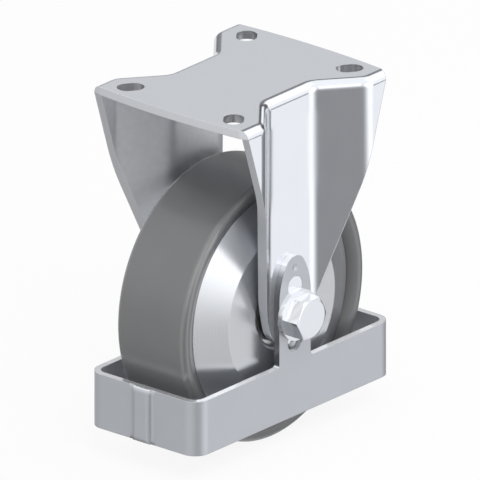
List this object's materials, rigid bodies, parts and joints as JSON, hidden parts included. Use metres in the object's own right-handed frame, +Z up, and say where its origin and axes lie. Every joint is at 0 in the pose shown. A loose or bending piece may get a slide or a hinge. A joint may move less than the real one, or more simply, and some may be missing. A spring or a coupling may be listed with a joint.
{
  "type": "fixed caster",
  "caption": "Heavy-duty fixed caster: pressed steel bracket with slotted top plate, foot guard, and a solid-tyred wheel on ball bearings.",
  "frame": {"origin": "middle of the top plate's upper face", "axes": "+X along the rolling direction, -Y towards the axle bolt's head, +Z up out of the plate"},
  "size_m": [0.1365, 0.0955, 0.1674],
  "materials": {
    "plated_bracket": "bright zinc plate",
    "plated_guard": "satin zinc plate",
    "plated_fastener": "bright zinc plate",
    "lock_ring": "moulded",
    "turned_steel": "turned",
    "bearing_steel": "ground",
    "cage_steel": "pressed",
    "seal": "moulded",
    "wheel_centre": "machined",
    "tyre": "moulded, satin"
  },
  "bodies": {
    "bracket": {"bracket": "plated_bracket", "foot_guard": "plated_guard", "axle_bolt": "plated_fastener", "axle_nut": "plated_fastener", "nut_lock_ring": "lock_ring", "washer_head_side": "plated_fastener", "washer_nut_side": "plated_fastener", "axle_tube": "turned_steel", "spacer_head_side": "turned_steel", "spacer_nut_side": "turned_steel", "inner_ring_head_side": "bearing_steel", "inner_ring_nut_side": "bearing_steel"},
    "wheel": {"wheel_centre": "wheel_centre", "tyre": "tyre", "outer_ring_head_side": "bearing_steel", "outer_ring_nut_side": "bearing_steel", "outside_seal_head_side": "seal", "inside_seal_head_side": "seal", "outside_seal_nut_side": "seal", "inside_seal_nut_side": "seal"},
    "cage_head_side": {"cage_head_side": "cage_steel", "balls_head_side": "bearing_steel"},
    "cage_nut_side": {"cage_nut_side": "cage_steel", "balls_nut_side": "bearing_steel"}
  },
  "joints": [
    {"name": "wheel_spin", "type": "hinge", "parent": "bracket", "child": "wheel", "pos_m": [0, 0, -0.1049], "axis": [0, 1, 0], "continuous": true},
    {"name": "cage_spin_head_side", "type": "hinge", "parent": "bracket", "child": "cage_head_side", "pos_m": [0, -0.0175, -0.1049], "axis": [0, 1, 0], "continuous": true},
    {"name": "cage_spin_nut_side", "type": "hinge", "parent": "bracket", "child": "cage_nut_side", "pos_m": [0, 0.0175, -0.1049], "axis": [0, 1, 0], "continuous": true}
  ],
  "couplings": [
    {"joint": "cage_spin_head_side", "follows": "wheel_spin", "ratio": 0.619},
    {"joint": "cage_spin_nut_side", "follows": "wheel_spin", "ratio": 0.619}
  ]
}
